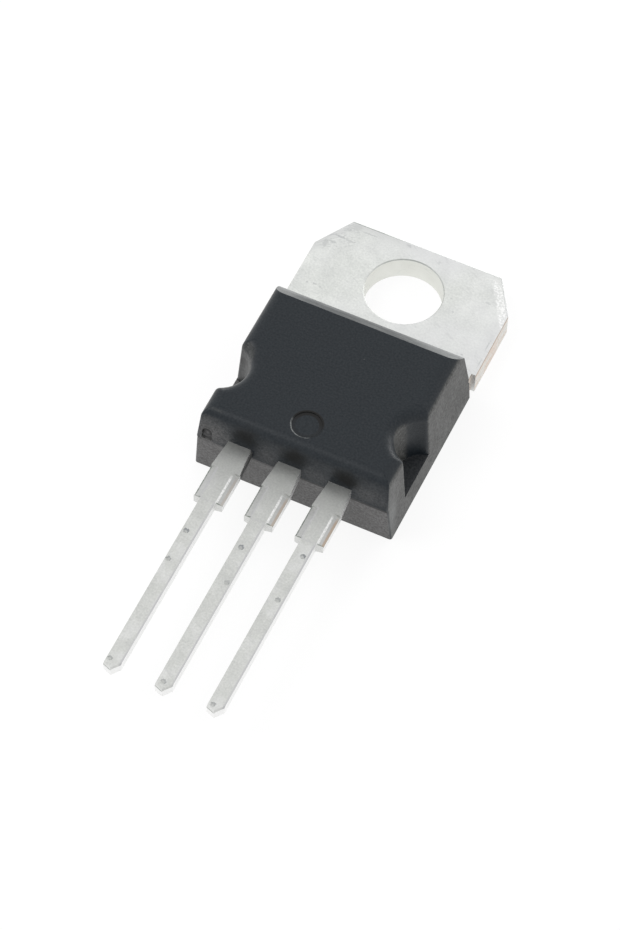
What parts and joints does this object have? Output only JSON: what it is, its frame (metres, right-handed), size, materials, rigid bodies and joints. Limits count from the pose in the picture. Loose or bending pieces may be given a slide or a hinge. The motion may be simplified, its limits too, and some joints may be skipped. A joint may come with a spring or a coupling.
{
  "type": "power mosfet",
  "caption": "Power MOSFET: black moulded body on a plated copper tab with a mounting hole, flat tinned leads in a row, stepped to narrow pointed tips.",
  "frame": {"origin": "centre of the mounting hole on the back face, which the part lies on", "axes": "+X across the package, +Y along it towards the free end of the tab, +Z out of the black front face"},
  "size_m": [0.0102, 0.0287, 0.0044],
  "materials": {
    "mould_compound": "fine matt mould finish, slightly mottled",
    "tin_plating": "satin tin plating over copper, lightly scratched",
    "solder": "dull reflowed solder",
    "silicon": "metallised silicon",
    "bond_wire": "drawn wire"
  },
  "bodies": {
    "root": {"mould_body": "mould_compound", "heat_tab": "tin_plating", "gate_lead": "tin_plating", "source_lead": "tin_plating", "die_attach": "solder", "silicon_die": "silicon", "gate_wire": "bond_wire", "source_wire_a": "bond_wire", "source_wire_b": "bond_wire"}
  },
  "joints": []
}
